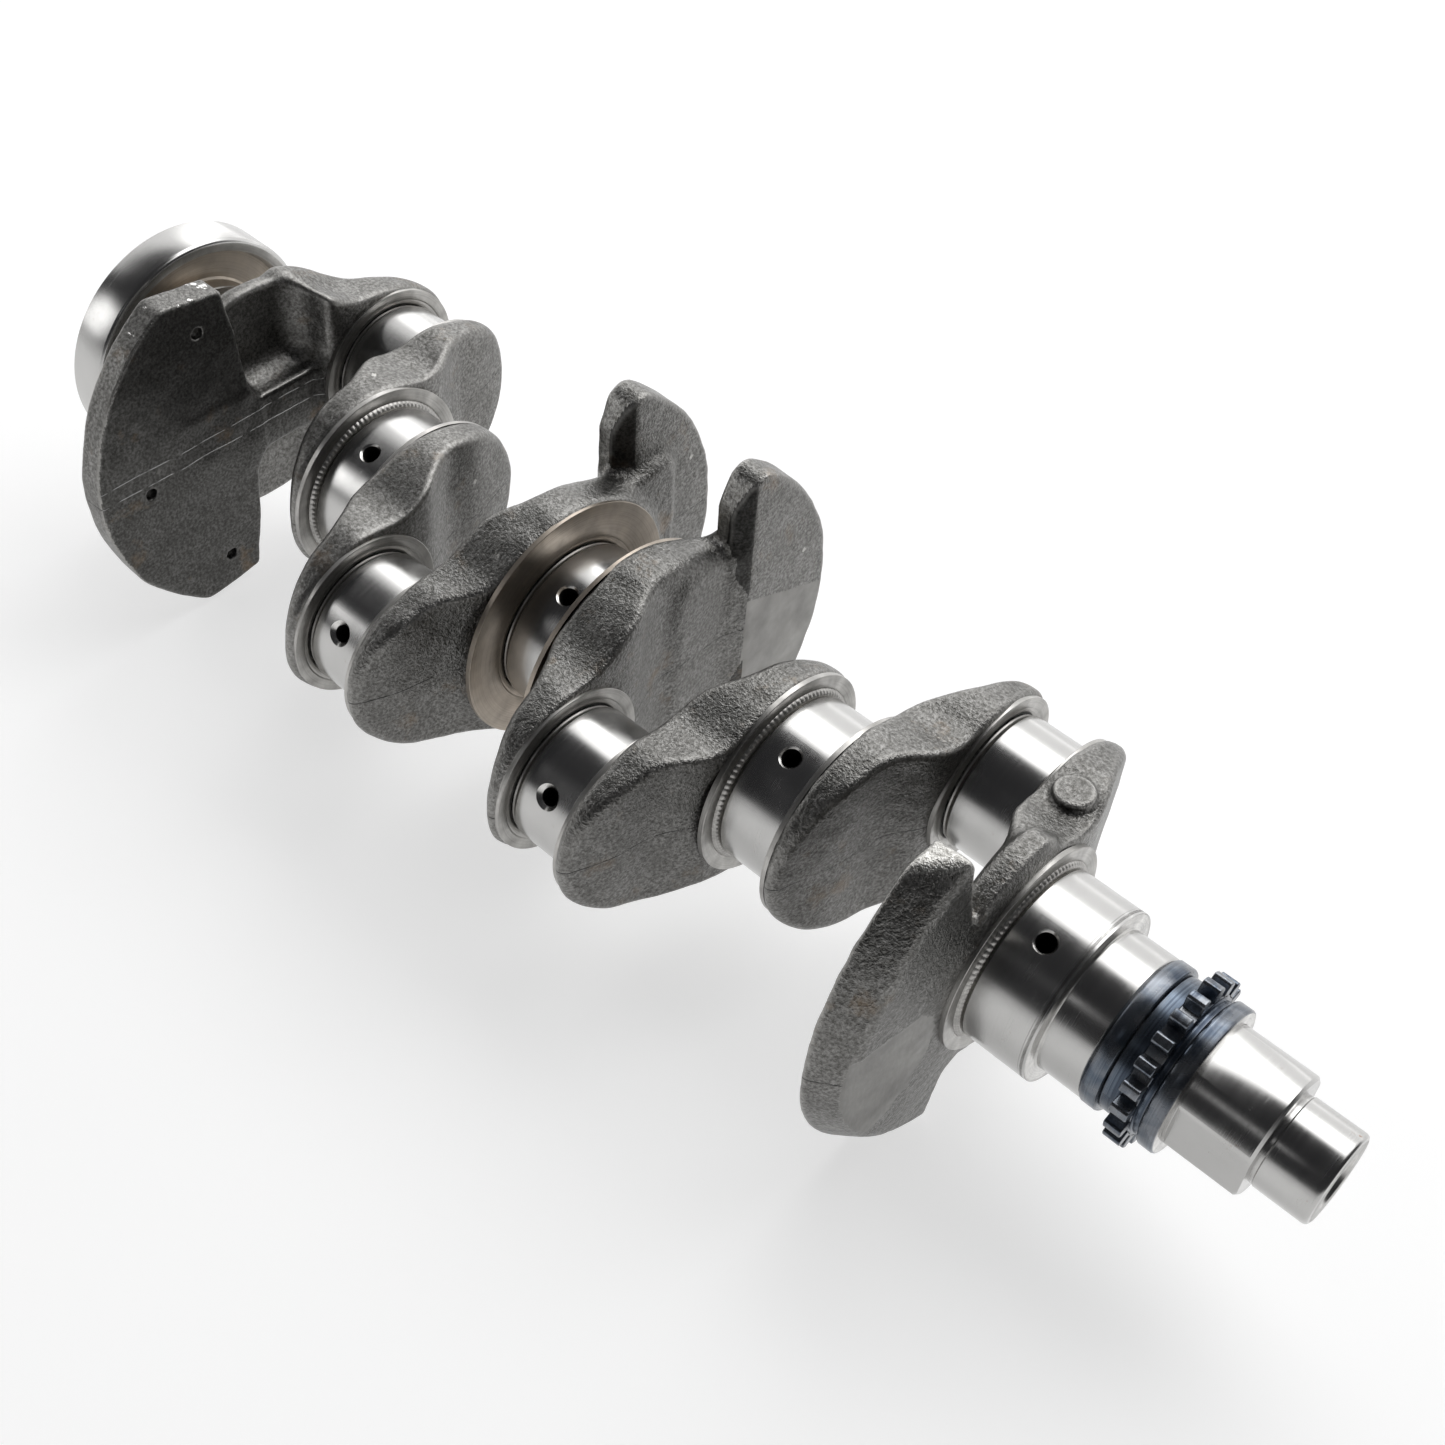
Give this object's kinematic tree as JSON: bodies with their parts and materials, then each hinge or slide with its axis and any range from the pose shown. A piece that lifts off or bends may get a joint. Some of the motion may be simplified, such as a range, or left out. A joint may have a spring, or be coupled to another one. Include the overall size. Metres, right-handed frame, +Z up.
{
  "type": "crankshaft",
  "caption": "Forged engine crankshaft with counterweighted webs, ground journals, flywheel flange and a slip-on timing sprocket between two collars.",
  "frame": {"origin": "centre of main journal 3, on the crank axis", "axes": "+X along the crank axis towards the nose, +Y towards crankpins 1 and 4, +Z up"},
  "size_m": [0.4708, 0.147, 0.124],
  "materials": {
    "forged_steel": "rough as-forged",
    "ground_steel": "ground and polished",
    "black_oxide_steel": "black oxide"
  },
  "bodies": {
    "crankshaft": {"flywheel_flange": "ground_steel", "main_journal_1": "ground_steel", "main_journal_2": "ground_steel", "main_journal_3": "ground_steel", "main_journal_4": "ground_steel", "main_journal_5": "ground_steel", "crankpin_1": "ground_steel", "crankpin_2": "ground_steel", "crankpin_3": "ground_steel", "crankpin_4": "ground_steel", "web_1": "forged_steel", "web_2": "forged_steel", "web_3": "forged_steel", "web_4": "forged_steel", "web_5": "forged_steel", "web_6": "forged_steel", "web_7": "forged_steel", "web_8": "forged_steel", "seal_journal": "ground_steel", "pump_drive": "ground_steel", "nose": "ground_steel"},
    "sprocket_set": {"rear_collar": "black_oxide_steel", "timing_sprocket": "black_oxide_steel", "front_collar": "black_oxide_steel"}
  },
  "joints": [
    {"name": "sprocket_slide", "type": "slide", "parent": "crankshaft", "child": "sprocket_set", "axis": [1, 0, 0], "range_m": [0, 0.07]}
  ]
}
